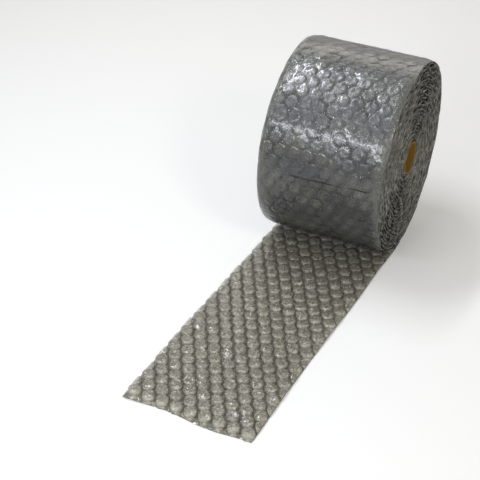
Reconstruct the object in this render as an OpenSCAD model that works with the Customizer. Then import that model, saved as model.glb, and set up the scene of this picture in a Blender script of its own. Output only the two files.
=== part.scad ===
// Roll of bubble wrap. One long web of film, flat on one side and blistered on the other, is wound
// on a cardboard core with its flat side outwards. Its loose end is drawn off along the floor.
// X is the roll's axis, the loose end runs towards -Y, and the origin is the middle of the core.

/* [Web] */
// Width of the web
web_w = 305; // [180:5:450]
// Thickness given to the film
film_t = 0.8; // [0.6:0.1:1.5]

/* [Bubbles] */
// Diameter of a bubble at its foot
bubble_d = 31; // [24:0.5:40]
// Flat land left between two bubbles
bubble_land = 3; // [1:0.5:10]
// Height of a bubble above the film
bubble_h = 12.5; // [8:0.5:16]
// Rise of a bubble's domed shoulder
bubble_crown = 4; // [2:0.5:6]
// Diameter of the flat of a bubble's top
bubble_top_d = 10; // [4:0.5:16]
// Narrowing of a bubble's radius from foot to shoulder
bubble_taper = 1.5; // [0.5:0.1:3]
// Height left of a bubble that the web's edge has cut open
cut_bubble_h = 7; // [6.5:0.5:8]
// Bare film between a cut bubble and the web's edge
edge_land = 0.5; // [0.3:0.1:3]

/* [Roll] */
// Turns wound on the core
turns = 22; // [10:1:26]
// Thickness that each turn adds
turn_t = 9.1; // [7:0.1:11]
// Depth to which the turns stand apart at the roll's ends
end_depth = 8; // [4:0.5:14]
// How far the turns' edges stray from one flat end
end_stray = 1.2; // [0:0.1:3]
// How far the roll's own weight has flattened its underside
flat_depth = 2.5; // [1.5:0.1:4]

/* [Core] */
// Diameter of the core's bore
core_bore_d = 76.2; // [50:0.1:110]
// Thickness of the core's wound board
core_wall = 3; // [2:0.5:8]
// How far the core stops short of the web at each end
core_inset = 1; // [0.5:0.5:10]
// Clearance between the core and the first turn
core_gap = 0.1; // [0.05:0.05:0.5]

/* [Loose end] */
// Length drawn off, from below the roll's axis to the cut
tail_len = 838; // [300:1:1200]
// Angle by which the loose end has swung aside
tail_skew = 3; // [0:0.5:6]
// Height of the waves along the cut
cut_wave = 4; // [0:1:10]
// Bare film between the last bubbles and the waves of the cut
cut_margin = 2; // [1:0.5:10]

/* [Hidden] */
$fn = 96;
core_r = core_bore_d / 2 + core_wall;
core_len = web_w - 2 * core_inset;
// The spiral is drawn as half turns on two centres, a quarter of a turn's thickness above and below the axis
centre_shift = turn_t / 4;
roll_r = core_r + core_gap + (turns + 0.25) * turn_t;
half_turns = 2 * turns;
floor_z = flat_depth - centre_shift - roll_r;
// Half the width of the flat underside, measured to the middle of the film
flat_half_w = sqrt(2 * roll_r * (flat_depth - film_t / 2));
pitch = bubble_d + bubble_land;
row_step = pitch * sin(60);
// The dome's sphere passes through the rim of the flat top and the top of the steep wall
crown_rise = (pow(bubble_d / 2 - bubble_taper, 2) - pow(bubble_top_d / 2, 2) + pow(bubble_crown, 2))
    / (2 * bubble_crown);
crown_r = norm([crown_rise, bubble_top_d / 2]);
last_row = tail_len - cut_wave - cut_margin - bubble_d / 2;
first_row = bubble_d / 2;
rows = floor((last_row - first_row) / row_step) + 1;
columns = ceil(web_w / pitch / 2);
cut_steps = 12;
overlap = 1;
// Step of the edges' stray from one half turn to the next, and between the roll's two ends
stray_step = 137.5;
stray_shift = 80;

function half_turn_r(k) = roll_r - k * turn_t / 2;
// How far half turn k's edge stands back from the web's full width, at the end on the given side (1 or 0)
function stand_back(k, side) = end_stray * (1 - cos(k * stray_step + side * stray_shift)) / 2;
function cut_line(x) = tail_len + cut_wave * sin(540 * x / web_w);
// A point of the loose end, swung aside with it
function swung(x, y) = [x * cos(tail_skew) + y * sin(tail_skew), y * cos(tail_skew) - x * sin(tail_skew)];

// Spiral-wound board tube
module cardboard_core() {
    color([0.72, 0.55, 0.33])
        rotate([0, 90, 0])
            difference() {
                cylinder(d = core_bore_d + 2 * core_wall, h = core_len, center = true);
                cylinder(d = core_bore_d, h = core_len + 2 * overlap, center = true);
            }
}

// Half of a turn from radius r inwards by depth, between two places on the axis.
// Even half turns lie on the +Y side and odd ones on the -Y side.
module half_turn(k, depth, x_from, x_to) {
    odd = k % 2;
    translate([0, 0, odd ? centre_shift : -centre_shift])
        rotate([90, 0, 90])
            rotate([0, 0, odd ? 90 : -90])
                rotate_extrude(angle = 180)
                    translate([half_turn_r(k) - depth, x_from])
                        square([depth, x_to - x_from]);
}

// The wound turns, pressed into one mass between the two ends
module wound_mass() {
    reach = web_w / 2 - end_depth;
    for (k = [0, 1])
        half_turn(k, half_turn_r(k), -reach, reach);
}

// The film's edges, which stand apart as a spiral at both ends of the roll
module turn_edges() {
    reach = web_w / 2 - end_depth - overlap;
    for (k = [0 : half_turns - 1]) {
        half_turn(k, film_t, reach, web_w / 2 - stand_back(k, 1));
        half_turn(k, film_t, stand_back(k, 0) - web_w / 2, -reach);
    }
}

// A sealed bubble: a steep wall, a domed shoulder and a small flat top
module bubble(height) {
    shoulder_r = bubble_d / 2 - bubble_taper;
    shoulder_h = height - bubble_crown;
    foot_depth = film_t / 2;
    foot_r = bubble_d / 2 + bubble_taper * foot_depth / shoulder_h;
    rotate_extrude()
        intersection() {
            polygon([[0, -foot_depth], [foot_r, -foot_depth], [shoulder_r, shoulder_h],
                     [shoulder_r, height], [0, height]]);
            translate([0, height - crown_rise])
                circle(r = crown_r);
        }
}

// Puts a bubble at each place of the staggered rows that the test picks
module bubble_rows(height, cut) {
    for (row = [0 : rows - 1], column = [-columns : columns]) {
        x = (column + (row % 2) / 2) * pitch;
        is_cut = abs(x) + bubble_d / 2 > web_w / 2;
        is_on_web = abs(x) - bubble_d / 4 < web_w / 2;
        if (is_on_web && is_cut == cut)
            translate([x, row * row_step - last_row, 0])
                bubble(height);
    }
}

// The flat film of the loose end, from under the roll to the wavy cut
module tail_film() {
    half_w = web_w / 2;
    cut = [for (i = [0 : cut_steps])
        let (x = web_w * (i / cut_steps - 0.5))
        swung(x, -cut_line(x))];
    linear_extrude(film_t)
        polygon(concat(
            [[half_w, 0], [half_w, flat_half_w], [-half_w, flat_half_w], [-half_w, 0]],
            [swung(-half_w, -flat_half_w)], cut, [swung(half_w, -flat_half_w)]));
}

// The loose end, flat film down and bubbles up
module loose_end() {
    translate([0, 0, floor_z]) {
        tail_film();
        translate([0, 0, film_t])
            rotate([0, 0, -tail_skew]) {
                bubble_rows(bubble_h, false);
                intersection() {
                    bubble_rows(cut_bubble_h, true);
                    translate([edge_land - web_w / 2, -tail_len, -film_t])
                        cube([web_w - 2 * edge_land, tail_len, film_t + bubble_h]);
                }
            }
    }
}

module bubble_web() {
    color([0.45, 0.46, 0.42])
        difference() {
            union() {
                wound_mass();
                turn_edges();
                loose_end();
            }
            rotate([0, 90, 0])
                cylinder(r = core_r + core_gap, h = web_w + 2 * overlap, center = true);
            translate([-web_w, -tail_len - 2 * web_w, floor_z - flat_depth - overlap])
                cube([2 * web_w, 2 * (tail_len + 2 * web_w), flat_depth + overlap]);
        }
}

cardboard_core();
bubble_web();
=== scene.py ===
from math import cos, pi, radians, sin
import bpy
import numpy as np
from mathutils import Matrix, Vector


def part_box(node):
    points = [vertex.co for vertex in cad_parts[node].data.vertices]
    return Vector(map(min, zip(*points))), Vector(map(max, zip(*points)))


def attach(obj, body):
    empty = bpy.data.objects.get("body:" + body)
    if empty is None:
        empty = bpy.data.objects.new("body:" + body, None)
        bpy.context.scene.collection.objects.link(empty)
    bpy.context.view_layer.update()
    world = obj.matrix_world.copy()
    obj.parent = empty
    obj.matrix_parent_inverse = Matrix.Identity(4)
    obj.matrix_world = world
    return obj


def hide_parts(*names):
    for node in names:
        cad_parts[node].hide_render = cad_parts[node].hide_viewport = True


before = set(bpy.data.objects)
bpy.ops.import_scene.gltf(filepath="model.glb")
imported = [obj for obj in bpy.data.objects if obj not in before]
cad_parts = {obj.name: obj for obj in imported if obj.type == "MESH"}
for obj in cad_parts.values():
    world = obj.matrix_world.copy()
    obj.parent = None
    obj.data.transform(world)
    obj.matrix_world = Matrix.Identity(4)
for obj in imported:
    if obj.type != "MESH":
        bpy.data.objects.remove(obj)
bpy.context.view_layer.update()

# Camera
# It stands in front of the loose end and to its right, looking down at the roll from 34 degrees above
# the floor. The distance and the lens come from the outline of the roll and the lines of bubbles.
FLOOR_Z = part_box("bubble_web")[0][2]
VIEW_AZIMUTH = radians(22.88)
VIEW_HEIGHT = radians(34.52)
VIEW_ROLL = radians(2.137)
VIEW_DISTANCE = 3.272
LOOKED_AT = Vector((-0.213, -0.180, FLOOR_Z))

bpy.ops.object.select_all(action="DESELECT")
bpy.ops.object.camera_add()
camera = bpy.context.object
camera.name = "camera"
camera.data.sensor_width = 36
camera.data.lens = 97.5
camera.data.clip_start = 0.05
level_reach = cos(VIEW_HEIGHT)
towards_camera = Vector((sin(VIEW_AZIMUTH), -cos(VIEW_AZIMUTH), 0)) * level_reach
towards_camera.z = sin(VIEW_HEIGHT)
camera.location = LOOKED_AT + towards_camera * VIEW_DISTANCE
aim = towards_camera.to_track_quat("Z", "Y").to_matrix() @ Matrix.Rotation(VIEW_ROLL, 3, "Z")
camera.rotation_euler = aim.to_euler()
bpy.context.scene.camera = camera

# Cardboard core
# A tube of kraft board, wound in a spiral from strips of brown paper and cut off square. The film is
# wound straight onto it, and it stops just short of the film at both ends.
STRIP_W = 0.095


def new_material(name):
    material = bpy.data.materials.new(name)
    material.use_nodes = True
    nodes, links = material.node_tree.nodes, material.node_tree.links
    return material, nodes, links, nodes["Principled BSDF"]


board, nodes, links, shader = new_material("kraft_board")
place = nodes.new("ShaderNodeTexCoord")
along_axis = nodes.new("ShaderNodeSeparateXYZ")
links.new(place.outputs["Object"], along_axis.inputs["Vector"])
turned = nodes.new("ShaderNodeMapping")
turned.inputs["Rotation"].default_value = (0, pi / 2, 0)
links.new(place.outputs["Object"], turned.inputs["Vector"])
around = nodes.new("ShaderNodeTexGradient")
around.gradient_type = "RADIAL"
links.new(turned.outputs["Vector"], around.inputs["Vector"])
winding = nodes.new("ShaderNodeMath")
winding.operation = "MULTIPLY_ADD"
winding.inputs[1].default_value = 1 / STRIP_W
links.new(along_axis.outputs["X"], winding.inputs[0])
links.new(around.outputs["Fac"], winding.inputs[2])
strip = nodes.new("ShaderNodeMath")
strip.operation = "FRACT"
links.new(winding.outputs["Value"], strip.inputs[0])
seam = nodes.new("ShaderNodeValToRGB")
seam.color_ramp.elements[0].color = (0.25, 0.13, 0.03, 1)
seam.color_ramp.elements[0].position = 0.01
seam.color_ramp.elements[1].color = (0.64, 0.36, 0.06, 1)
seam.color_ramp.elements[1].position = 0.03
links.new(strip.outputs["Value"], seam.inputs["Fac"])
fibres = nodes.new("ShaderNodeTexNoise")
fibres.inputs["Scale"].default_value = 420
fibres.inputs["Detail"].default_value = 4
links.new(place.outputs["Object"], fibres.inputs["Vector"])
plies = nodes.new("ShaderNodeTexWave")
plies.wave_type = "RINGS"
plies.rings_direction = "X"
plies.inputs["Scale"].default_value = 330
plies.inputs["Distortion"].default_value = 0.6
links.new(place.outputs["Object"], plies.inputs["Vector"])
worn = nodes.new("ShaderNodeMix")
worn.data_type = "RGBA"
worn.blend_type = "MULTIPLY"
worn.inputs[0].default_value = 0.55
links.new(seam.outputs["Color"], worn.inputs[6])
links.new(fibres.outputs["Fac"], worn.inputs[7])
layered = nodes.new("ShaderNodeMix")
layered.data_type = "RGBA"
layered.blend_type = "MULTIPLY"
layered.inputs[0].default_value = 0.3
links.new(worn.outputs[2], layered.inputs[6])
links.new(plies.outputs["Color"], layered.inputs[7])
links.new(layered.outputs[2], shader.inputs["Base Color"])
rough_board = nodes.new("ShaderNodeBump")
rough_board.inputs["Strength"].default_value = 0.4
rough_board.inputs["Distance"].default_value = 0.0004
links.new(fibres.outputs["Fac"], rough_board.inputs["Height"])
links.new(rough_board.outputs["Normal"], shader.inputs["Normal"])
shader.inputs["Roughness"].default_value = 0.85
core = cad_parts["cardboard_core"]
core.data.materials.clear()
core.data.materials.append(board)

# Bubbles of the loose end
# The upper of the two clear films, drawn up into bubbles that stand in staggered rows across the web.
# It is modelled flat from one bubble, from the cut to where the roll stands on it, and then bent.
WEB_W = 0.305
BUBBLE_D = 0.031
PITCH = 0.034
ROW_STEP = PITCH * sin(radians(60))
BUBBLE_H = 0.0125
PRESSED_H = 0.0083
SEAL_T = 0.0003
TURN_T = 0.0091
TURNS = 22
CORE_R = 0.0412
ROLL_R = CORE_R + (TURNS + 0.25) * TURN_T
CENTRE_SHIFT = TURN_T / 4
TAIL_LEN = 0.838
TAIL_SKEW = radians(3)
FIRST_ROW = 0.0215
CUT_WAVE = 0.004
LOOSE_ROWS = 28
SIDES = 12
ROUNDING_LOSS = 0.0006
DRAWN_LINE = radians(120)
DENT_DEPTH = 0.0065
DENT_R = 0.0055
WANDER_W = 0.0035
LIFT_H = 0.0028


def deselect_all():
    bpy.ops.object.select_all(action="DESELECT")


def take_up(piece):
    deselect_all()
    piece.select_set(True)
    bpy.context.view_layer.objects.active = piece


def apply_modifiers(piece):
    take_up(piece)
    for modifier in list(piece.modifiers):
        bpy.ops.object.modifier_apply(modifier=modifier.name)


def hexagon_cell(name, rings):
    """One bubble with the land around it. The rings are steps inwards and upwards from its foot."""
    deselect_all()
    bpy.ops.mesh.primitive_circle_add(vertices=SIDES, radius=PITCH / 2, fill_type="NGON")
    cell = bpy.context.object
    cell.name = name
    for vertex in cell.data.vertices:
        turn = (vertex.co.xy.angle_signed(Vector((1, 0))) + radians(30)) % radians(60) - radians(30)
        vertex.co.xy /= cos(turn)
    outline = [vertex.index for vertex in cell.data.vertices]
    bpy.ops.object.mode_set(mode="EDIT")
    bpy.ops.mesh.select_all(action="SELECT")
    bpy.ops.mesh.inset(thickness=(PITCH - BUBBLE_D) / 2 - ROUNDING_LOSS)
    bpy.ops.object.mode_set(mode="OBJECT")
    for vertex in cell.data.vertices:
        if vertex.index not in outline:
            vertex.co.xy = vertex.co.xy.normalized() * (BUBBLE_D / 2 + ROUNDING_LOSS)
    bpy.ops.object.mode_set(mode="EDIT")
    for inwards, upwards in rings:
        bpy.ops.mesh.inset(thickness=inwards, depth=upwards)
    bpy.ops.object.mode_set(mode="OBJECT")
    return cell


def fill_out(cell, half_length, half_width, squareness, saddle):
    """Draws a bubble out towards two of its neighbours, and up into a saddle between it and them."""
    for vertex in cell.data.vertices:
        x, y, z = vertex.co
        if np.hypot(x, y) > 0.0001:
            a = np.arctan2(y, x) - DRAWN_LINE
            if z > 0.0001:
                reach = (abs(cos(a)) / half_length) ** squareness
                reach += (abs(sin(a)) / half_width) ** squareness
                vertex.co.xy *= reach ** (-1 / squareness) / (BUBBLE_D / 2)
            if abs(cos(a)) > 0.99:
                vertex.co.z = max(z, saddle)


def repeat(piece, name, step, count):
    array = piece.modifiers.new(name, "ARRAY")
    array.use_relative_offset = False
    array.use_constant_offset = True
    array.constant_offset_displace = step
    array.count = count


def row_field(cell, columns, rows):
    """Repeats a cell in staggered rows and welds the cells together."""
    repeat(cell, "second_row", (PITCH / 2, ROW_STEP, 0), 2)
    repeat(cell, "across", (PITCH, 0, 0), columns)
    repeat(cell, "along", (0, 2 * ROW_STEP, 0), rows // 2)
    apply_modifiers(cell)
    bpy.ops.object.mode_set(mode="EDIT")
    bpy.ops.mesh.select_all(action="SELECT")
    bpy.ops.mesh.remove_doubles(threshold=0.0002)
    bpy.ops.object.mode_set(mode="OBJECT")


def cut_off(piece, place, outwards):
    """Cuts away what lies beyond a place, on the side that outwards points to."""
    take_up(piece)
    bpy.ops.object.mode_set(mode="EDIT")
    bpy.ops.mesh.select_all(action="SELECT")
    bpy.ops.mesh.bisect(plane_co=place, plane_no=outwards, clear_outer=True)
    bpy.ops.object.mode_set(mode="OBJECT")


def get_points(piece):
    points = np.empty(len(piece.data.vertices) * 3)
    piece.data.vertices.foreach_get("co", points)
    return points.reshape(-1, 3)


def set_points(piece, points):
    piece.data.vertices.foreach_set("co", points.ravel())
    piece.data.update()


def smooth_step(low, high, value):
    t = np.clip((value - low) / (high - low), 0, 1)
    return t * t * (3 - 2 * t)


def run_out_to_cut(piece, height):
    """Runs the film on from the first row of bubbles to the slightly wavy cut."""
    take_up(piece)
    bpy.ops.object.mode_set(mode="EDIT")
    bpy.ops.mesh.select_mode(type="EDGE")
    bpy.ops.mesh.select_all(action="DESELECT")
    bpy.ops.mesh.select_non_manifold()
    bpy.ops.object.mode_set(mode="OBJECT")
    for edge in piece.data.edges:
        ends = [piece.data.vertices[i].co for i in edge.vertices]
        at_side = all(abs(end.x) > WEB_W / 2 - 0.0001 for end in ends)
        edge.select = edge.select and not at_side and all(end.y < FIRST_ROW for end in ends)
    for vertex in piece.data.vertices:
        vertex.select = False
    for edge in piece.data.edges:
        if edge.select:
            for i in edge.vertices:
                piece.data.vertices[i].select = True
    bpy.ops.object.mode_set(mode="EDIT")
    bpy.ops.mesh.extrude_edges_move()
    bpy.ops.object.mode_set(mode="OBJECT")
    for vertex in piece.data.vertices:
        if vertex.select:
            vertex.co.y = -CUT_WAVE * sin(radians(540) * vertex.co.x / WEB_W)
            vertex.co.z = height


def nearest_bubble(points):
    """Row and column of the bubble nearest to each point of the flat web, and the place on it."""
    found = []
    near_row = np.rint((points[:, 1] - FIRST_ROW) / ROW_STEP).astype(int)
    for row in (near_row - 1, near_row, near_row + 1):
        stagger = (row % 2) / 2
        column = np.rint(points[:, 0] / PITCH - stagger).astype(int)
        x = points[:, 0] - (column + stagger) * PITCH
        y = points[:, 1] - FIRST_ROW - row * ROW_STEP
        found.append((row, column, x, y))
    found = np.array(found)
    nearest = np.hypot(found[:, 2], found[:, 3]).argmin(axis=0)
    row, column, x, y = np.take_along_axis(found, nearest[None, None, :], axis=0)[0]
    return row.astype(int), column.astype(int), x, y


def chances(row, column, count):
    """Random numbers from 0 to 1, the same for all points of a bubble."""
    table = np.random.default_rng(7).random((97, 17, count))
    return table[row % 97, column % 17].T


def press_unevenly(piece, crush):
    """Gives each bubble its own height, lean and dent, and lets the cut ones at the sides sink."""
    points = get_points(piece)
    row, column, x, y = nearest_bubble(points)
    fullness, lean_x, lean_y, dent_x, dent_y, dent_depth = chances(row, column, 6)
    swell = np.clip((points[:, 2] - SEAL_T) / BUBBLE_H, 0, 1)
    height = 1 - crush * 0.25 * fullness ** 2
    lean = 0.20 * crush * (x * (lean_x - 0.5) + y * (lean_y - 0.5)) * swell
    off_x = x - (dent_x - 0.5) * BUBBLE_D * 0.7
    off_y = y - (dent_y - 0.5) * BUBBLE_D * 0.7
    dent = DENT_DEPTH * crush * np.maximum(dent_depth - 0.35, 0) * swell
    dent *= np.exp(-(off_x ** 2 + off_y ** 2) / DENT_R ** 2)
    is_cut = abs(points[:, 0] - x) > WEB_W / 2 - BUBBLE_D / 4
    towards_side = smooth_step(WEB_W / 2 - BUBBLE_D / 2, WEB_W / 2, abs(points[:, 0]))
    sunk = 1 - is_cut * (0.35 + 0.3 * lean_x) * towards_side
    points[:, 2] = SEAL_T + ((points[:, 2] - SEAL_T) * height + lean - dent) * sunk
    points[:, 2] = np.maximum(points[:, 2], SEAL_T)
    set_points(piece, points)
    return swell


def roll_path(first_half_turn, last_half_turn, tail=0.0):
    """Points (y, z) of the film from the loose end's cut, under the roll and inwards along its turns."""
    points = [(-tail + i * 0.01 - CUT_WAVE, FLOOR_Z) for i in range(int((tail + CUT_WAVE) / 0.01))]
    for k in range(first_half_turn, last_half_turn + 1):
        odd = k % 2
        r = ROLL_R - k * TURN_T / 2
        centre = CENTRE_SHIFT if odd else -CENTRE_SHIFT
        start = radians(90 if odd else -90)
        steps = max(24, int(pi * r / 0.006))
        for i in range(steps):
            a = start + pi * i / steps
            points.append((r * cos(a), max(centre + r * sin(a), FLOOR_Z)))
    return points


def bend_along(piece, path_points):
    """Bends a flat piece, whose length lies along Y, onto a path in the YZ plane."""
    curve = bpy.data.curves.new("path", "CURVE")
    curve.dimensions = "3D"
    curve.twist_mode = "Z_UP"
    spline = curve.splines.new("POLY")
    spline.points.add(len(path_points) - 1)
    for point, (y, z) in zip(spline.points, path_points):
        point.co = (y, z, 0, 1)
    path = bpy.data.objects.new("path", curve)
    bpy.context.collection.objects.link(path)
    to_path = Matrix(((0, 1, 0), (0, 0, 1), (1, 0, 0))).to_4x4()
    piece.data.transform(to_path)
    bend = piece.modifiers.new("bend", "CURVE")
    bend.object = path
    bend.deform_axis = "POS_X"
    apply_modifiers(piece)
    piece.data.transform(to_path.inverted())
    bpy.data.objects.remove(path)


def ripple(first, second, wave, seed):
    """Smooth random waves of about the given length, between -1 and 1."""
    rng = np.random.default_rng(seed)
    total = np.zeros(len(first))
    for direction, stretch, start in rng.random((7, 3)):
        pull = 2 * pi / wave * (0.6 + 0.9 * stretch)
        way = first * cos(pi * direction) + second * sin(pi * direction)
        total += np.sin(pull * way + 2 * pi * start)
    return total / 4


def lay_down(piece):
    """Turns the loose end aside from where it leaves the roll, and lets it wander and lift a little."""
    points = get_points(piece)
    out = smooth_step(0.02, 0.2, -points[:, 1])
    swing = TAIL_SKEW * smooth_step(0, 0.15, -points[:, 1])
    x, y = points[:, 0].copy(), points[:, 1].copy()
    points[:, 0] = x * np.cos(swing) + y * np.sin(swing)
    points[:, 0] += WANDER_W * out * ripple(y, 0 * y, 0.45, 3)
    points[:, 1] = y * np.cos(swing) - x * np.sin(swing)
    points[:, 2] += LIFT_H * out * np.maximum(ripple(x, y, 0.20, 11), 0)
    set_points(piece, points)


def add_field(piece, name, values):
    field = piece.data.attributes.new(name, "FLOAT", "POINT")
    field.data.foreach_set("value", values)


def round_off(piece):
    smoothing = piece.modifiers.new("round", "SUBSURF")
    smoothing.levels = 1
    smoothing.render_levels = 1
    smoothing.boundary_smooth = "PRESERVE_CORNERS"
    apply_modifiers(piece)


def crumple(piece, grain, depth):
    clouds = bpy.data.textures.new("creases", "CLOUDS")
    clouds.noise_scale = grain
    clouds.noise_depth = 2
    creases = piece.modifiers.new("creases", "DISPLACE")
    creases.texture = clouds
    creases.texture_coords = "LOCAL"
    creases.strength = depth
    apply_modifiers(piece)


def film_material(name, greys, opacity, mottling, roughness, shine=0.3):
    """Shiny clear film in three greys, those of the lands, of the bubbles and of the bare edges. On the
    loose end the lightest also serves as painted light.
    """
    material, nodes, links, shader = new_material(name)
    place = nodes.new("ShaderNodeTexCoord")
    tone = nodes.new("ShaderNodeAttribute")
    tone.attribute_name = "tone"
    blotches = nodes.new("ShaderNodeTexNoise")
    blotches.inputs["Scale"].default_value = 240
    blotches.inputs["Detail"].default_value = 3
    links.new(place.outputs["Object"], blotches.inputs["Vector"])
    uneven = nodes.new("ShaderNodeMath")
    uneven.operation = "MULTIPLY_ADD"
    uneven.inputs[1].default_value = mottling
    links.new(blotches.outputs["Fac"], uneven.inputs[0])
    links.new(tone.outputs["Fac"], uneven.inputs[2])
    spread = nodes.new("ShaderNodeMapRange")
    spread.inputs["From Min"].default_value = mottling / 2 - 0.1
    spread.inputs["From Max"].default_value = mottling / 2 + 1.05
    links.new(uneven.outputs["Value"], spread.inputs["Value"])
    land, bubble, edge = greys
    shades = nodes.new("ShaderNodeValToRGB")
    shades.color_ramp.elements[0].color = land
    shades.color_ramp.elements[1].color = edge
    shades.color_ramp.elements.new(0.5).color = bubble
    links.new(spread.outputs["Result"], shades.inputs["Fac"])
    links.new(shades.outputs["Color"], shader.inputs["Base Color"])
    shader.inputs["Roughness"].default_value = roughness
    shader.inputs["Specular IOR Level"].default_value = 0.8
    shader.inputs["Coat Weight"].default_value = shine
    shader.inputs["Coat Roughness"].default_value = roughness / 2
    shader.inputs["Alpha"].default_value = opacity
    return material


def relief(material, height_output, depth):
    """Raises the film by a height from the material's own nodes, times the depth."""
    nodes, links = material.node_tree.nodes, material.node_tree.links
    raised = nodes.new("ShaderNodeBump")
    raised.inputs["Strength"].default_value = 1
    raised.inputs["Distance"].default_value = depth
    links.new(height_output, raised.inputs["Height"])
    normal = nodes["Principled BSDF"].inputs["Normal"]
    if normal.is_linked:
        links.new(normal.links[0].from_socket, raised.inputs["Normal"])
    links.new(raised.outputs["Normal"], normal)


def add_facets(material, width, slope):
    """Breaks the film into small flat facets that lean at random, as thin film creases."""
    nodes, links = material.node_tree.nodes, material.node_tree.links
    place = nodes["Texture Coordinate"].outputs["Object"]
    facets = nodes.new("ShaderNodeTexVoronoi")
    facets.inputs["Scale"].default_value = 1 / width
    links.new(place, facets.inputs["Vector"])
    from_middle = nodes.new("ShaderNodeVectorMath")
    from_middle.operation = "SUBTRACT"
    links.new(place, from_middle.inputs[0])
    links.new(facets.outputs["Position"], from_middle.inputs[1])
    lean = nodes.new("ShaderNodeVectorMath")
    lean.operation = "SUBTRACT"
    lean.inputs[1].default_value = (0.5, 0.5, 0.5)
    links.new(facets.outputs["Color"], lean.inputs[0])
    rise = nodes.new("ShaderNodeVectorMath")
    rise.operation = "DOT_PRODUCT"
    links.new(from_middle.outputs["Vector"], rise.inputs[0])
    links.new(lean.outputs["Vector"], rise.inputs[1])
    relief(material, rise.outputs["Value"], 2 * slope)


def paint_glints(material, width, brightness):
    """Paints light flecks into the colour of the bubbles: painted glints, where creases too fine to
    model would catch the light.
    """
    nodes, links = material.node_tree.nodes, material.node_tree.links
    flecks = nodes.new("ShaderNodeTexNoise")
    flecks.inputs["Scale"].default_value = 1 / width
    flecks.inputs["Detail"].default_value = 1
    links.new(nodes["Texture Coordinate"].outputs["Object"], flecks.inputs["Vector"])
    lit = nodes.new("ShaderNodeMapRange")
    lit.inputs["From Min"].default_value = 0.60
    lit.inputs["From Max"].default_value = 0.70
    lit.inputs["To Max"].default_value = brightness
    links.new(flecks.outputs["Fac"], lit.inputs["Value"])
    lighter = nodes.new("ShaderNodeMath")
    lighter.operation = "MULTIPLY_ADD"
    spread = nodes["Map Range"].inputs["Value"]
    links.new(lit.outputs["Result"], lighter.inputs[0])
    links.new(nodes["Attribute"].outputs["Fac"], lighter.inputs[1])
    links.new(spread.links[0].from_socket, lighter.inputs[2])
    links.new(lighter.outputs["Value"], spread)


def keep_off_floor(piece):
    points = get_points(piece)
    points[:, 2] = np.maximum(points[:, 2], FLOOR_Z)
    set_points(piece, points)


def finish_film(piece, material):
    piece.data.materials.append(material)
    take_up(piece)
    bpy.ops.object.shade_smooth()
    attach(piece, "root")
    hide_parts("bubble_web")


def trim_sides(piece):
    cut_off(piece, (WEB_W / 2, 0, 0), (1, 0, 0))
    cut_off(piece, (-WEB_W / 2, 0, 0), (-1, 0, 0))


steps = [(0.0001, 0.0020), (0.0002, 0.0060), (0.0018, 0.0032), (0.0060, 0.0013)]
bubbles = hexagon_cell("loose_bubbles", steps)
fill_out(bubbles, half_length=0.0169, half_width=0.0146, squareness=3.0, saddle=0.0075)
bubbles.data.transform(Matrix.Translation((-5 * PITCH, FIRST_ROW, SEAL_T)))
row_field(bubbles, 10, LOOSE_ROWS)
trim_sides(bubbles)
run_out_to_cut(bubbles, SEAL_T)
swell = press_unevenly(bubbles, crush=1.0)
points = get_points(bubbles)
under_roll = smooth_step(TAIL_LEN - 0.070, TAIL_LEN - 0.030, points[:, 1])
points[:, 2] *= 1 + under_roll * (PRESSED_H / BUBBLE_H - 1)
set_points(bubbles, points)
near_edge = smooth_step(WEB_W / 2 - 0.006, WEB_W / 2, abs(points[:, 0]))
near_cut = smooth_step(0.035, 0, points[:, 1])
wall_painted_light = np.clip(1 - abs(swell - 0.45) / 0.45, 0, 1)
row, column, x, y = nearest_bubble(points)
along = abs(x * cos(DRAWN_LINE) + y * sin(DRAWN_LINE)) / (BUBBLE_D / 2)
# Painted light: the bubble walls are lighter, as if lit, and so is the film between two bubbles along
# their line, where shade falls in the crevice.
tone = 0.45 * smooth_step(0, 0.25, swell) + 0.2 * wall_painted_light + 0.35 * smooth_step(0.60, 0.90, along)
# Painted shadow of the roll: towards the roll the tone is halved, which takes the painted light off the
# bubbles.
tone *= 1 - 0.5 * smooth_step(TAIL_LEN - 0.40, TAIL_LEN - 0.10, points[:, 1])
add_field(bubbles, "tone", tone + 0.4 * np.maximum(0.5 * near_edge, near_cut))
round_off(bubbles)
loose_path = roll_path(0, 0, TAIL_LEN)
bubbles.data.transform(Matrix.Translation((0, CUT_WAVE, 0)))
bend_along(bubbles, loose_path)
lay_down(bubbles)
crumple(bubbles, grain=0.008, depth=0.0022)
keep_off_floor(bubbles)
# The lightest of these greys paints light on the bubble walls, between the bubbles along a line and in
# the glints.
loose_greys = (0.268, 0.254, 0.184, 1), (0.226, 0.215, 0.155, 1), (0.68, 0.64, 0.50, 1)
loose_film = film_material("bubble_film", loose_greys, 0.7, 1.5, 0.15, shine=0.9)
# Painted glints: light flecks in the film's colour.
paint_glints(loose_film, width=0.0028, brightness=1.3)
add_facets(loose_film, width=0.0040, slope=0.5)
finish_film(bubbles, loose_film)

# Flat film of the loose end
# The lower film, which seals the bubbles and lies on the floor. It is cut off in a slightly wavy line.


def turn_over(piece):
    """Makes a sheet's faces look the other way."""
    take_up(piece)
    bpy.ops.object.mode_set(mode="EDIT")
    bpy.ops.mesh.select_all(action="SELECT")
    bpy.ops.mesh.flip_normals()
    bpy.ops.object.mode_set(mode="OBJECT")


flat = hexagon_cell("loose_flat_film", [(0.006, 0)])
flat.data.transform(Matrix.Translation((-5 * PITCH, FIRST_ROW, 0)))
row_field(flat, 10, LOOSE_ROWS)
trim_sides(flat)
run_out_to_cut(flat, 0)
turn_over(flat)
flat.data.transform(Matrix.Translation((0, CUT_WAVE, 0)))
bend_along(flat, loose_path)
lay_down(flat)
add_field(flat, "tone", np.full(len(flat.data.vertices), 0.3))
finish_film(flat, loose_film)

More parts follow.
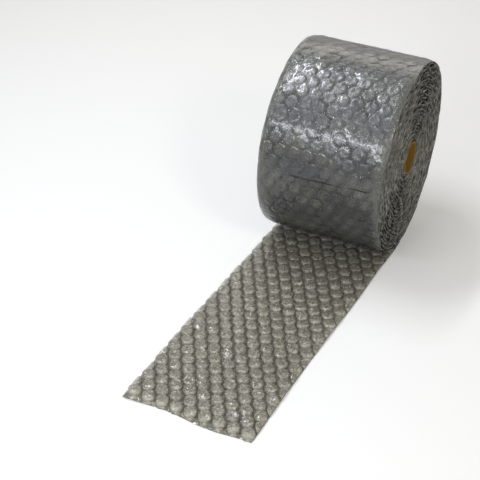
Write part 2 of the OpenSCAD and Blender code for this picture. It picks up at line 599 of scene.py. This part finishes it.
# Outer turn
# The film goes once round the roll with its flat side outwards. Over each bubble it swells a little,
# between them it dips and pleats, and at both rims it sinks, because the cut bubbles there are empty.
SWELL_H = 0.0007
WAVE_H = 0.0010
RIPPLE_H = 0.0003
RIM_W = 0.022
RIM_SINK = 0.0045
FIRST_TURN_ROW = FIRST_ROW + LOOSE_ROWS * ROW_STEP
TURN_ROWS = 52


def add_wrinkles(material, width, depth):
    """Covers the film with soft winding wrinkles."""
    nodes, links = material.node_tree.nodes, material.node_tree.links
    wrinkles = nodes.new("ShaderNodeTexNoise")
    wrinkles.inputs["Scale"].default_value = 1 / width
    wrinkles.inputs["Detail"].default_value = 2
    wrinkles.inputs["Distortion"].default_value = 0.5
    links.new(nodes["Texture Coordinate"].outputs["Object"], wrinkles.inputs["Vector"])
    relief(material, wrinkles.outputs["Fac"], depth)


def add_pleats(material, depth):
    """Draws the film into creases that run out from the middle of each bubble and end on the land."""
    nodes, links = material.node_tree.nodes, material.node_tree.links
    on_bubble = nodes.new("ShaderNodeAttribute")
    on_bubble.attribute_name = "on_bubble"
    flat = nodes.new("ShaderNodeVectorMath")
    flat.operation = "MULTIPLY"
    flat.inputs[1].default_value = (1, 1, 0)
    links.new(on_bubble.outputs["Vector"], flat.inputs[0])
    direction = nodes.new("ShaderNodeVectorMath")
    direction.operation = "NORMALIZE"
    links.new(flat.outputs["Vector"], direction.inputs[0])
    from_middle = nodes.new("ShaderNodeVectorMath")
    from_middle.operation = "LENGTH"
    links.new(flat.outputs["Vector"], from_middle.inputs[0])
    own = nodes.new("ShaderNodeVectorMath")
    own.operation = "MULTIPLY_ADD"
    own.inputs[1].default_value = (0.35, 0.35, 40)
    links.new(on_bubble.outputs["Vector"], own.inputs[0])
    spokes = nodes.new("ShaderNodeVectorMath")
    spokes.operation = "SCALE"
    spokes.inputs["Scale"].default_value = 1.7
    links.new(direction.outputs["Vector"], spokes.inputs[0])
    links.new(spokes.outputs["Vector"], own.inputs[2])
    creases = nodes.new("ShaderNodeTexNoise")
    creases.inputs["Scale"].default_value = 1
    creases.inputs["Detail"].default_value = 2
    links.new(own.outputs["Vector"], creases.inputs["Vector"])
    beginning = nodes.new("ShaderNodeMapRange")
    beginning.interpolation_type = "SMOOTHSTEP"
    beginning.inputs["From Min"].default_value = 0.05
    beginning.inputs["From Max"].default_value = 0.75
    links.new(from_middle.outputs["Value"], beginning.inputs["Value"])
    ending = nodes.new("ShaderNodeMapRange")
    ending.interpolation_type = "SMOOTHSTEP"
    ending.inputs["From Min"].default_value = 1.09
    ending.inputs["From Max"].default_value = 0.80
    links.new(from_middle.outputs["Value"], ending.inputs["Value"])
    inside = nodes.new("ShaderNodeMath")
    inside.operation = "MULTIPLY"
    links.new(beginning.outputs["Result"], inside.inputs[0])
    links.new(ending.outputs["Result"], inside.inputs[1])
    both_ways = nodes.new("ShaderNodeMath")
    both_ways.operation = "SUBTRACT"
    both_ways.inputs[1].default_value = 0.2
    links.new(creases.outputs["Fac"], both_ways.inputs[0])
    height = nodes.new("ShaderNodeMath")
    height.operation = "MULTIPLY"
    links.new(both_ways.outputs["Value"], height.inputs[0])
    links.new(inside.outputs["Value"], height.inputs[1])
    relief(material, height.outputs["Value"], depth)


def add_ridges(material, spacing, contrast, depth):
    """Covers the film where its "rim" field is high with ridges that run around the roll."""
    nodes, links = material.node_tree.nodes, material.node_tree.links
    drawn_out = nodes.new("ShaderNodeMapping")
    drawn_out.inputs["Scale"].default_value = (1 / spacing, 12, 12)
    links.new(nodes["Texture Coordinate"].outputs["Object"], drawn_out.inputs["Vector"])
    ridges = nodes.new("ShaderNodeTexNoise")
    ridges.inputs["Scale"].default_value = 1
    ridges.inputs["Detail"].default_value = 2
    links.new(drawn_out.outputs["Vector"], ridges.inputs["Vector"])
    rim = nodes.new("ShaderNodeAttribute")
    rim.attribute_name = "rim"
    at_rim = nodes.new("ShaderNodeMath")
    at_rim.operation = "MULTIPLY"
    links.new(ridges.outputs["Fac"], at_rim.inputs[0])
    links.new(rim.outputs["Fac"], at_rim.inputs[1])
    lighter = nodes.new("ShaderNodeMath")
    lighter.operation = "MULTIPLY_ADD"
    lighter.inputs[1].default_value = contrast
    links.new(at_rim.outputs["Value"], lighter.inputs[0])
    spread = nodes["Map Range"].inputs["Value"]
    links.new(spread.links[0].from_socket, lighter.inputs[2])
    links.new(lighter.outputs["Value"], spread)
    relief(material, at_rim.outputs["Value"], depth)


def pull_taut(material, share):
    """Takes a share off the depth of all creases where the film's "taut" field is 1."""
    nodes, links = material.node_tree.nodes, material.node_tree.links
    taut = nodes.new("ShaderNodeAttribute")
    taut.attribute_name = "taut"
    slack = nodes.new("ShaderNodeMath")
    slack.operation = "MULTIPLY_ADD"
    slack.inputs[1].default_value = -share
    slack.inputs[2].default_value = 1
    links.new(taut.outputs["Fac"], slack.inputs[0])
    for node in nodes:
        if node.type == "BUMP":
            links.new(slack.outputs["Value"], node.inputs["Strength"])


def note_bubbles(piece):
    """Tells each face's corners their place on the bubble there, in radii, and a chance."""
    mesh = piece.data
    middles = np.empty(len(mesh.polygons) * 3)
    mesh.polygons.foreach_get("center", middles)
    middles = middles.reshape(-1, 3)
    row, column, x, y = nearest_bubble(middles)
    chance = chances(row, column, 1)[0]
    sizes = np.empty(len(mesh.polygons), dtype=int)
    mesh.polygons.foreach_get("loop_total", sizes)
    corners = np.empty(len(mesh.loops), dtype=int)
    mesh.loops.foreach_get("vertex_index", corners)
    place = get_points(piece)[corners]
    place[:, 0] -= np.repeat(middles[:, 0] - x, sizes)
    place[:, 1] -= np.repeat(middles[:, 1] - y, sizes)
    place /= BUBBLE_D / 2
    place[:, 2] = np.repeat(chance, sizes)
    field = mesh.attributes.new("on_bubble", "FLOAT_VECTOR", "CORNER")
    field.data.foreach_set("vector", place.ravel())


def sink_rims(points, reach):
    """Lowers the film near both ends of the roll, less and less towards the inner turns."""
    r = np.hypot(points[:, 1], points[:, 2])
    outer = np.exp(-(ROLL_R - r) / reach)
    near_rim = np.clip((abs(points[:, 0]) - WEB_W / 2 + RIM_W) / RIM_W, 0, 1)
    shrink = 1 - RIM_SINK * near_rim ** 2 * outer / r
    points[:, 1] *= shrink
    points[:, 2] *= shrink


outer_path = roll_path(0, 2)
skin = hexagon_cell("outer_turn", [(0.003, 0), (0.005, 0)])
skin.data.transform(Matrix.Translation((-5 * PITCH, FIRST_TURN_ROW, 0)))
row_field(skin, 10, TURN_ROWS)
trim_sides(skin)
round_off(skin)
note_bubbles(skin)
turn_over(skin)
points = get_points(skin)
row, column, x, y = nearest_bubble(points)
fullness, lean_x, lean_y = chances(row, column, 3)
from_middle = np.hypot(x, y) / (BUBBLE_D / 2)
lens = np.clip(1 - from_middle ** 2, 0, 1)
bulge = SWELL_H * (0.35 + 0.9 * fullness) * lens ** 1.5
bulge += 0.035 * (x * (lean_x - 0.5) + y * (lean_y - 0.5)) * lens
points[:, 2] = WAVE_H * ripple(points[:, 0], points[:, 1], 0.09, 21) - bulge
points[:, 2] += RIPPLE_H * ripple(points[:, 0], points[:, 1], 0.03, 27)
near_rim = smooth_step(WEB_W / 2 - 0.026, WEB_W / 2 - 0.010, abs(points[:, 0]))
cloudy = 0.22 * ripple(points[:, 0], points[:, 1], 0.13, 23)
in_line = np.cos(2 * pi * (y * cos(DRAWN_LINE) - x * sin(DRAWN_LINE)) / ROW_STEP)
add_field(skin, "rim", near_rim)
at_rim = smooth_step(WEB_W / 2 - 0.012, WEB_W / 2, abs(points[:, 0])) * np.sign(points[:, 0])
points[:, 0] += 0.0011 * at_rim * ripple(points[:, 1], points[:, 0], 0.06, 25)
set_points(skin, points)
skin.data.transform(Matrix.Translation((0, -TAIL_LEN, 0)))
bend_along(skin, outer_path)
points = get_points(skin)
on_top = smooth_step(0.3 * ROLL_R, 0.7 * ROLL_R, points[:, 2])
on_top *= smooth_step(-0.20 * ROLL_R, 0.05 * ROLL_R, points[:, 1])
add_field(skin, "taut", on_top)
tone = (0.24 * lens * (0.3 + 0.7 * fullness) + 0.10 * in_line) * (1 + on_top) + cloudy
add_field(skin, "tone", tone * (1 - 0.6 * near_rim) - 0.1 * near_rim)
sink_rims(points, reach=0.02)
set_points(skin, points)
crumple(skin, grain=0.012, depth=0.0004)
keep_off_floor(skin)
skin_greys = (0.070, 0.071, 0.076, 1), (0.174, 0.175, 0.150, 1), (0.44, 0.42, 0.37, 1)
skin_film = film_material("outer_film", skin_greys, 0.78, 1.0, 0.24, shine=0.5)
add_wrinkles(skin_film, width=0.0045, depth=0.00028)
add_pleats(skin_film, depth=0.0019)
add_ridges(skin_film, spacing=0.004, contrast=0.7, depth=0.0016)
pull_taut(skin_film, share=0.6)
finish_film(skin, skin_film)

# Fold across the outer turn
# A pinched crease that the film was wound with. It runs across most of the roll, a little aslant.
FOLD_FROM = -0.100
FOLD_TO = 0.135
FOLD_PLACE = 1.120
deselect_all()
bpy.ops.mesh.primitive_grid_add(x_subdivisions=48, y_subdivisions=6, size=1)
fold = bpy.context.object
fold.name = "fold"
points = get_points(fold)
across = points[:, 1] * 2
points[:, 0] = FOLD_FROM + (points[:, 0] + 0.5) * (FOLD_TO - FOLD_FROM)
fade = smooth_step(FOLD_FROM, FOLD_FROM + 0.05, points[:, 0])
fade *= smooth_step(FOLD_TO, FOLD_TO - 0.03, points[:, 0])
wander = 0.0025 * ripple(points[:, 0], 0 * across, 0.12, 81) - 0.03 * points[:, 0]
points[:, 1] = FOLD_PLACE + 0.0024 * across + wander
points[:, 2] = 0.0012 - 0.0034 * fade * (1 - abs(across)) ** 0.7
set_points(fold, points)
turn_over(fold)
add_field(fold, "tone", np.full(len(points), 0.1))
bend_along(fold, outer_path)
# The fold is painted near black: painted shade in the pinched crease.
fold_shade_greys = (0.04, 0.04, 0.035, 1), (0.06, 0.06, 0.05, 1), (0.1, 0.1, 0.1, 1)
fold_film = film_material("fold_film", fold_shade_greys, 0.9, 0.7, 0.5, shine=0)
add_wrinkles(fold_film, width=0.006, depth=0.0004)
fold_film.node_tree.nodes["Principled BSDF"].inputs["Specular IOR Level"].default_value = 0.1
finish_film(fold, fold_film)

# Bubbles of the outer turn
# They point inwards and show through the flat film, pressed against the turn below.
steps = [(0.0008, 0.0045), (0.0030, 0.0030), (0.0050, 0.0008)]
inner_bubbles = hexagon_cell("outer_turn_bubbles", steps)
inner_bubbles.data.transform(Matrix.Translation((-5 * PITCH, FIRST_TURN_ROW, SEAL_T)))
row_field(inner_bubbles, 10, TURN_ROWS)
trim_sides(inner_bubbles)
swell = press_unevenly(inner_bubbles, crush=0.6)
points = get_points(inner_bubbles)
near_rim = smooth_step(WEB_W / 2 - 0.020, WEB_W / 2 - 0.008, abs(points[:, 0]))
add_field(inner_bubbles, "tone", np.maximum(0.5 * swell, 0.6 * near_rim))
inner_bubbles.data.transform(Matrix.Translation((0, -TAIL_LEN, 0)))
bend_along(inner_bubbles, outer_path)
points = get_points(inner_bubbles)
sink_rims(points, reach=0.02)
set_points(inner_bubbles, points)
keep_off_floor(inner_bubbles)
inner_greys = (0.05, 0.05, 0.054, 1), (0.165, 0.165, 0.148, 1), (0.32, 0.31, 0.28, 1)
inner_film = film_material("inner_film", inner_greys, 0.7, 0.7, 0.14)
add_facets(inner_film, width=0.008, slope=0.25)
finish_film(inner_bubbles, inner_film)

# Edges of the wound turns
# At both ends of the roll the turns show edge on: the flat film as a spiral line and, between its
# turns, the bubbles that the web's edge has cut through or just missed, flattened and pulled about.
EDGE_DEPTH = 0.010
FILM_T = 0.0007
PUFF_H = 0.0017
STRAY_W = 0.0022
inner_length = sum(pi * (ROLL_R - k * TURN_T / 2) for k in range(2, 2 * TURNS))
inner_path = roll_path(2, 2 * TURNS - 1)
edge_greys = (0.10, 0.10, 0.090, 1), (0.35, 0.35, 0.315, 1), (0.92, 0.91, 0.82, 1)
edge_film = film_material("edge_film", edge_greys, 0.75, 0.7, 0.18)
add_facets(edge_film, width=0.005, slope=0.4)


def pull_about(points, side):
    """Puffs the edges of the turns in and out. The points are those of the flat film."""
    near_edge = smooth_step(WEB_W / 2 - EDGE_DEPTH, WEB_W / 2, abs(points[:, 0]))
    points[:, 2] += PUFF_H * near_edge * ripple(points[:, 1], points[:, 0], 0.045, 31 + side)
    outwards = ripple(points[:, 1], 0 * points[:, 1], 0.035, 41 + side) - 0.5
    points[:, 0] += side * STRAY_W * near_edge * outwards


def light_at_edge(points, seed):
    """How brightly the film's edge shows: the cut itself is light, here more and there less."""
    at_edge = smooth_step(WEB_W / 2 - 0.0030, WEB_W / 2 - 0.0004, abs(points[:, 0]))
    return np.clip(at_edge * (0.7 + 0.6 * ripple(points[:, 1], 0 * points[:, 1], 0.022, seed)), 0, 1)


for side in (-1, 1):
    name = "right" if side > 0 else "left"
    arches = hexagon_cell("cut_bubbles_" + name, [(0.0008, 0.0050), (0.0030, 0.0024)])
    arches.data.transform(Matrix.Translation((4 * PITCH, 0, SEAL_T)))
    row_field(arches, 1, 2 * (int(inner_length / (2 * ROW_STEP)) + 1))
    if side < 0:
        arches.data.transform(Matrix.Translation((-9 * PITCH + PITCH / 2, 0, 0)))
    cut_off(arches, (side * WEB_W / 2, 0, 0), (side, 0, 0))
    cut_off(arches, (side * (WEB_W / 2 - EDGE_DEPTH), 0, 0), (-side, 0, 0))
    points = get_points(arches)
    points[:, 2] *= 0.75 + 0.3 * ripple(points[:, 1], 0 * points[:, 1], 0.10, 51 + side)
    add_field(arches, "tone", 0.7 * light_at_edge(points, 61 + side))
    pull_about(points, side)
    set_points(arches, points)
    bend_along(arches, inner_path)
    finish_film(arches, edge_film)

    deselect_all()
    bpy.ops.mesh.primitive_grid_add(x_subdivisions=4, y_subdivisions=int(inner_length / 0.006), size=1)
    ribbon = bpy.context.object
    ribbon.name = "film_edge_" + name
    points = get_points(ribbon)
    from_edge = EDGE_DEPTH * (0.5 - side * points[:, 0]) ** 2.5
    points[:, 0] = side * (WEB_W / 2 - from_edge)
    points[:, 1] = (points[:, 1] + 0.5) * inner_length
    set_points(ribbon, points)
    turn_over(ribbon)
    points = get_points(ribbon)
    add_field(ribbon, "tone", light_at_edge(points, 71 + side))
    pull_about(points, side)
    set_points(ribbon, points)
    bend_along(ribbon, inner_path)
    thickness = ribbon.modifiers.new("thickness", "SOLIDIFY")
    thickness.thickness = FILM_T
    thickness.offset = 0
    apply_modifiers(ribbon)
    finish_film(ribbon, edge_film)

# Wound film behind
# Under the outer turn and between the two ends the layers lie so deep that they read as one grey mass.
deselect_all()
bpy.ops.mesh.primitive_cylinder_add(vertices=192, radius=CORE_R, depth=WEB_W - 2 * EDGE_DEPTH,
                                    end_fill_type="NOTHING", rotation=(0, pi / 2, 0))
mass = bpy.context.object
mass.name = "wound_turns"
bpy.ops.object.transform_apply(location=False, rotation=True, scale=False)
for side in (-1, 1):
    for vertex in mass.data.vertices:
        at_end = vertex.co.x * side > 0
        vertex.select = at_end and np.hypot(vertex.co.y, vertex.co.z) < CORE_R * 1.01
    for edge in mass.data.edges:
        edge.select = all(mass.data.vertices[i].select for i in edge.vertices)
    for polygon in mass.data.polygons:
        polygon.select = False
    bpy.ops.object.mode_set(mode="EDIT")
    bpy.ops.mesh.select_mode(type="EDGE")
    bpy.ops.mesh.extrude_edges_move()
    bpy.ops.object.mode_set(mode="OBJECT")
    for vertex in mass.data.vertices:
        if vertex.select:
            a = np.arctan2(vertex.co.z, vertex.co.y)
            odd = vertex.co.y < 0
            r = ROLL_R - (3 if odd else 2) * TURN_T / 2
            centre = CENTRE_SHIFT if odd else -CENTRE_SHIFT
            vertex.co.y = r * cos(a)
            vertex.co.z = centre + r * sin(a)
for vertex in mass.data.vertices:
    vertex.select = np.hypot(vertex.co.y, vertex.co.z) > CORE_R * 2
for edge in mass.data.edges:
    edge.select = all(mass.data.vertices[i].select for i in edge.vertices)
bpy.ops.object.mode_set(mode="EDIT")
bpy.ops.mesh.bridge_edge_loops()
bpy.ops.mesh.select_all(action="SELECT")
bpy.ops.mesh.normals_make_consistent(inside=False)
bpy.ops.object.mode_set(mode="OBJECT")
add_field(mass, "tone", np.full(len(mass.data.vertices), 0.5))
deep_greys = (0.08, 0.08, 0.08, 1), (0.22, 0.22, 0.21, 1), (0.3, 0.3, 0.3, 1)
deep_film = film_material("deep_film", deep_greys, 1.0, 0.7, 0.14)
add_facets(deep_film, width=0.012, slope=0.4)
mass.data.materials.append(deep_film)
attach(mass, "root")
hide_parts("bubble_web")

# Floor and lamps
# A plain pale floor and white walls. Two long lamps, one overhead and one in front, give the two bands
# of glints along the roll. Two broad and weak ones give the haze between the bands and behind them,
# and a low and a side lamp light the front and the right end.
bpy.ops.mesh.primitive_plane_add(size=12, location=(0, 0, FLOOR_Z - 0.0005))
ground = bpy.context.object
ground.name = "floor"
paint, nodes, links, shader = new_material("floor_paint")
shader.inputs["Base Color"].default_value = (0.93, 0.92, 0.90, 1)
shader.inputs["Roughness"].default_value = 0.9
rays = nodes.new("ShaderNodeLightPath")
lift = nodes.new("ShaderNodeMath")
lift.operation = "MULTIPLY"
lift.inputs[1].default_value = 0.2
links.new(rays.outputs["Is Camera Ray"], lift.inputs[0])
links.new(lift.outputs["Value"], shader.inputs["Emission Strength"])
shader.inputs["Emission Color"].default_value = (1, 1, 1, 1)
ground.data.materials.append(paint)

world = bpy.data.worlds.new("studio")
bpy.context.scene.world = world
world.use_nodes = True
nodes, links = world.node_tree.nodes, world.node_tree.links
soft_light = nodes["Background"]
soft_light.inputs["Color"].default_value = (1, 0.98, 0.93, 1)
soft_light.inputs["Strength"].default_value = 0.20
white_walls = nodes.new("ShaderNodeBackground")
white_walls.inputs["Color"].default_value = (1, 0.99, 0.95, 1)
rays = nodes.new("ShaderNodeLightPath")
seen = nodes.new("ShaderNodeMath")
seen.operation = "MULTIPLY_ADD"
seen.inputs[1].default_value = 0.62
links.new(rays.outputs["Is Glossy Ray"], seen.inputs[0])
links.new(rays.outputs["Is Camera Ray"], seen.inputs[2])
walls_seen = nodes.new("ShaderNodeMixShader")
links.new(seen.outputs["Value"], walls_seen.inputs["Fac"])
links.new(soft_light.outputs["Background"], walls_seen.inputs[1])
links.new(white_walls.outputs["Background"], walls_seen.inputs[2])
links.new(walls_seen.outputs["Shader"], nodes["World Output"].inputs["Surface"])


def strip_lamp(name, place, width, height, power, colour):
    deselect_all()
    bpy.ops.object.light_add(type="AREA", location=place)
    lamp = bpy.context.object
    lamp.name = name
    lamp.data.shape = "RECTANGLE"
    lamp.data.size = width
    lamp.data.size_y = height
    lamp.data.energy = power
    lamp.data.color = colour
    lamp.rotation_euler = Vector(place).to_track_quat("Z", "Y").to_euler()


COOL = (0.88, 0.92, 1.0)
WARM = (1.0, 0.96, 0.86)
strip_lamp("ceiling_lamp", (-1.0, 0.1, 2.4), 1.9, 0.14, 29, COOL)
strip_lamp("window_lamp", (-0.6, -2.1, 1.25), 1.2, 0.20, 13.5, COOL)
strip_lamp("haze_lamp", (-0.85, -1.0, 2.1), 1.6, 1.1, 5.5, COOL)
strip_lamp("low_lamp", (-0.15, -2.2, 0.95), 0.35, 0.14, 4, COOL)
strip_lamp("back_lamp", (-0.6, 2.2, 1.7), 2.4, 0.90, 10, WARM)
strip_lamp("side_lamp", (1.2, -1.2, 1.5), 0.4, 0.4, 7, WARM)
bpy.context.scene.view_settings.view_transform = "Standard"
